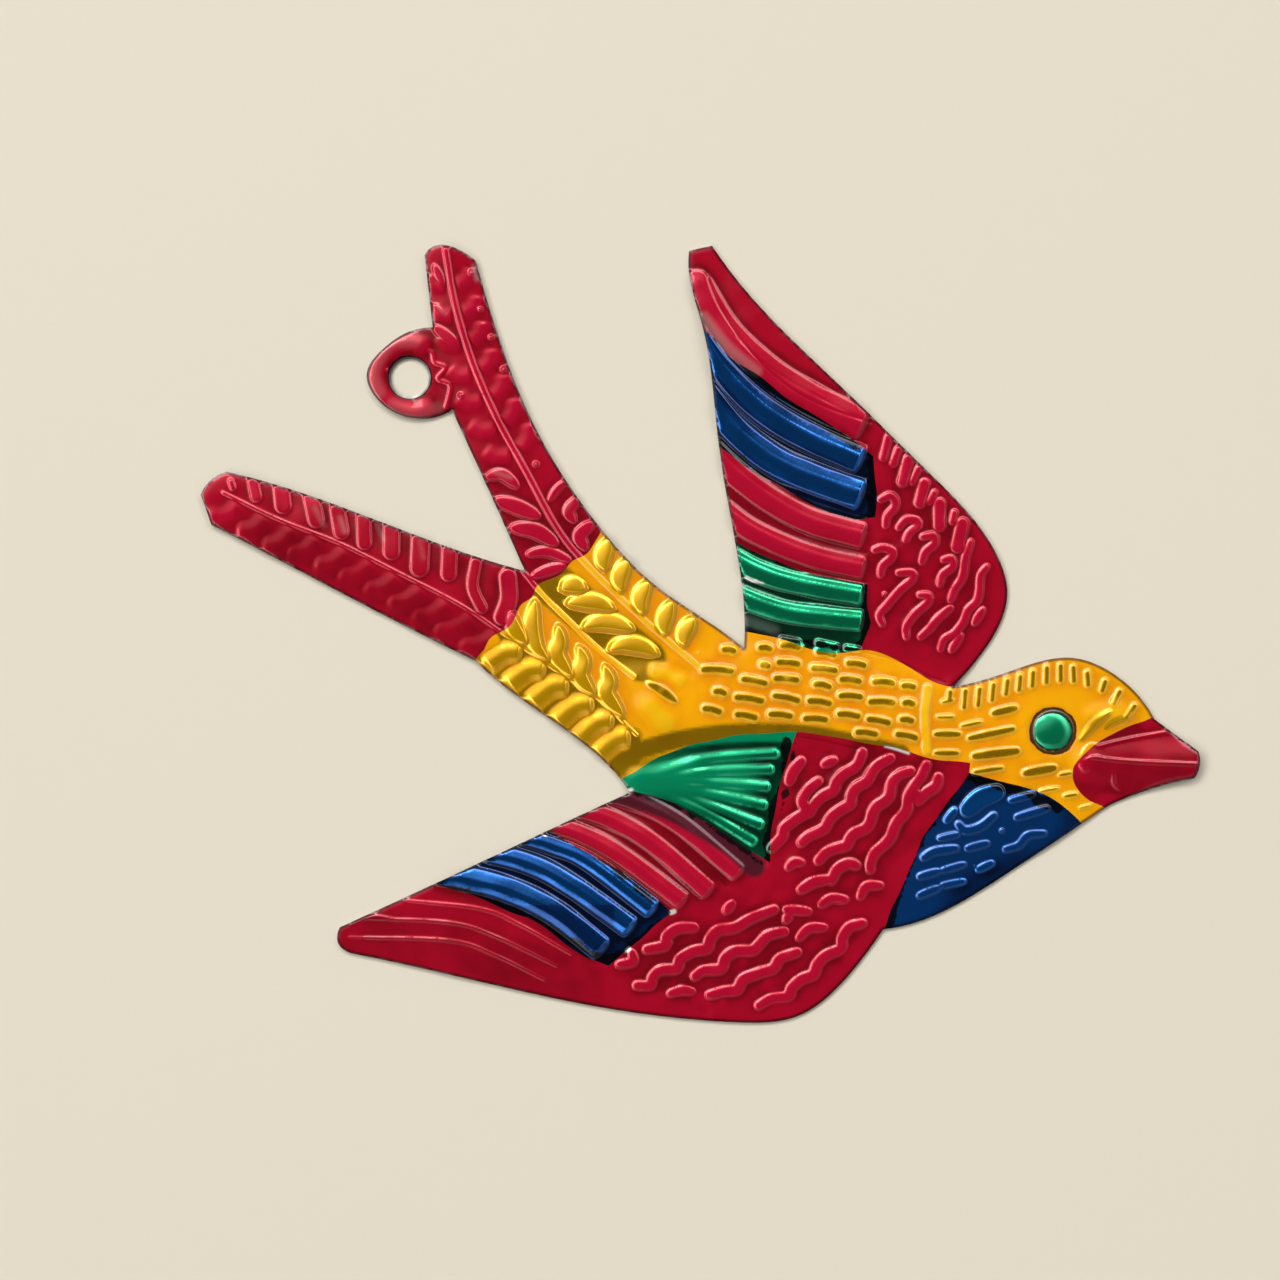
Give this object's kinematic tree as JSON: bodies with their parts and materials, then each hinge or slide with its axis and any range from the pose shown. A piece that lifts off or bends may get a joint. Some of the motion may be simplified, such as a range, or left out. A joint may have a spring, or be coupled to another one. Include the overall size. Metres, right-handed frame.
{
  "type": "embossed tin bird ornament",
  "caption": "Flat swallow ornament cut from tinplate, embossed from behind, its feathers in red, gold, blue and green lacquer, with a holed tab on the tail to hang it by.",
  "frame": {"origin": "middle of the bounding box in X and Y, on the flat back face in Z", "axes": "+X from the tail towards the beak, +Y up the far wing, +Z out of the worked, lacquered side"},
  "size_m": [0.0997, 0.0777, 0.0013],
  "materials": {
    "tinplate": "bright tinplate, hand-embossed, bare on the back and the cut edge",
    "red_lacquer": "brushed translucent crimson lacquer, glossy, over tin",
    "gold_lacquer": "brushed translucent yellow-gold lacquer, glossy, over tin",
    "blue_lacquer": "brushed translucent deep blue lacquer, glossy, over tin",
    "green_lacquer": "brushed translucent emerald green lacquer, glossy, over tin"
  },
  "bodies": {
    "root": {"tin_sheet": "tinplate", "lower_tail_lacquer": "red_lacquer", "upper_tail_lacquer": "red_lacquer", "body_lacquer": "gold_lacquer", "far_wing_red_lacquer": "red_lacquer", "far_wing_blue_lacquer": "blue_lacquer", "far_wing_green_lacquer": "green_lacquer", "near_wing_red_lacquer": "red_lacquer", "near_wing_blue_lacquer": "blue_lacquer", "near_wing_green_lacquer": "green_lacquer", "breast_lacquer": "blue_lacquer", "beak_lacquer": "red_lacquer", "eye_lacquer": "green_lacquer"}
  },
  "joints": []
}
